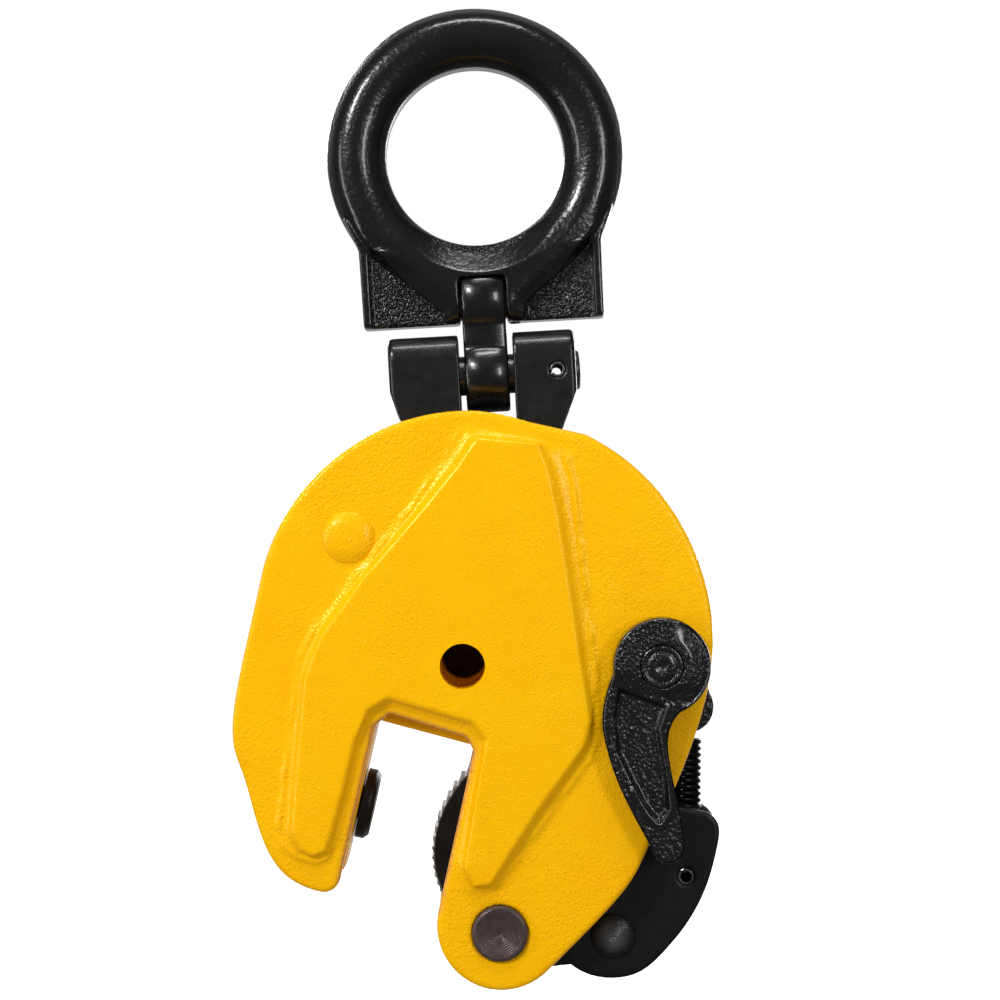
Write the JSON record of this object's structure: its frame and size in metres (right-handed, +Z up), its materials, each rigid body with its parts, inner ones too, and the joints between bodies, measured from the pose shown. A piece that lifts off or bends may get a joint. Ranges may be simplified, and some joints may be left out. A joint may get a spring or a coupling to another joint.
{
  "type": "plate lifting clamp",
  "caption": "Plate lifting clamp with a hinged lifting eye, toothed cam, swivel pad and side lock lever.",
  "frame": {"origin": "centre of the lifting eye's bore", "axes": "+Z up along the load line, +X towards the cam side, -Y the front with the lock lever"},
  "size_m": [0.1199, 0.0465, 0.2457],
  "materials": {
    "eye_black": "gloss",
    "link_black": "gloss",
    "head_black": "satin",
    "pin_steel": "satin",
    "yellow_paint": "gloss",
    "cam_pin_steel": "turned",
    "tail_pin_steel": "domed",
    "bush_bronze": "satin",
    "label": "matte",
    "hard_black": "oxide",
    "link_plate_black": "satin",
    "cast_black": "grained",
    "shaft_black": "grained",
    "spring_steel": "oxide"
  },
  "bodies": {
    "eye": {"lifting_eye": "eye_black", "eye_pin": "pin_steel", "eye_pin_retainer": "pin_steel"},
    "link": {"swivel_link": "link_black"},
    "head": {"shackle_head": "head_black", "head_pin": "pin_steel", "head_roll_pin": "pin_steel"},
    "pivot": {"head_pivot_pin": "pin_steel", "pivot_pin_ring": "pin_steel"},
    "frame": {"front_side_plate": "yellow_paint", "rear_side_plate": "yellow_paint", "jaw_block": "yellow_paint", "throat_stop": "yellow_paint", "back_spacer": "yellow_paint", "rivet_sleeve": "yellow_paint", "frame_rivet": "yellow_paint", "cam_pin": "cam_pin_steel", "lever_bush": "bush_bronze", "rating_label": "label"},
    "pad": {"swivel_pad": "hard_black"},
    "lever": {"lock_lever": "cast_black", "lever_shaft": "shaft_black", "shaft_ring": "pin_steel", "crank_arm": "cast_black", "crank_pin": "pin_steel"},
    "cam_body": {"cam": "hard_black", "cam_bush": "bush_bronze"},
    "links": {"front_pull_link": "link_plate_black", "rear_pull_link": "link_plate_black", "tail_pin": "tail_pin_steel", "spring_roll_pin": "pin_steel"},
    "spring": {"lock_spring": "spring_steel"}
  },
  "joints": [
    {"name": "eye_swing", "type": "hinge", "parent": "eye", "child": "link", "pos_m": [0, 0, -0.0362], "axis": [1, 0, 0], "range_deg": [-28, 28]},
    {"name": "head_swing", "type": "hinge", "parent": "link", "child": "head", "pos_m": [0, 0, -0.0552], "axis": [1, 0, 0], "range_deg": [-28, 28]},
    {"name": "head_tilt", "type": "hinge", "parent": "head", "child": "pivot", "pos_m": [-0.00001, 0, -0.08696], "axis": [0, 1, 0], "range_deg": [-25, 25]},
    {"name": "jaw_stroke", "type": "slide", "parent": "pivot", "child": "frame", "axis": [0, 0, -1], "range_m": [0, 0.01931], "stiffness_N_per_m": 600, "springref_m": -0.05},
    {"name": "cam_swing", "type": "hinge", "parent": "frame", "child": "cam_body", "pos_m": [-0.00447, 0, -0.19374], "axis": [0, -1, 0], "range_deg": [0, 39.1]},
    {"name": "tail_pivot", "type": "hinge", "parent": "cam_body", "child": "links", "pos_m": [0.02366, 0, -0.19749], "axis": [0, -1, 0], "range_deg": [-40.56, 0]},
    {"name": "spring_pivot", "type": "hinge", "parent": "links", "child": "spring", "pos_m": [0.0427, 0, -0.18373], "axis": [0, -1, 0], "range_deg": [-13.25, 0]},
    {"name": "lever_turn", "type": "hinge", "parent": "frame", "child": "lever", "pos_m": [0.03864, 0, -0.12982], "axis": [0, -1, 0], "range_deg": [0, 78.1]},
    {"name": "pad_spin", "type": "hinge", "parent": "frame", "child": "pad", "pos_m": [-0.03448, 0, -0.16266], "axis": [0.9627, 0, -0.2706], "continuous": true}
  ],
  "couplings": [
    {"joint": "cam_swing", "follows": "jaw_stroke", "rad_per_m": 35.25},
    {"joint": "tail_pivot", "follows": "jaw_stroke", "rad_per_m": -36.569},
    {"joint": "spring_pivot", "follows": "jaw_stroke", "rad_per_m": -11.886},
    {"joint": "lever_turn", "follows": "jaw_stroke", "rad_per_m": 70.5}
  ]
}
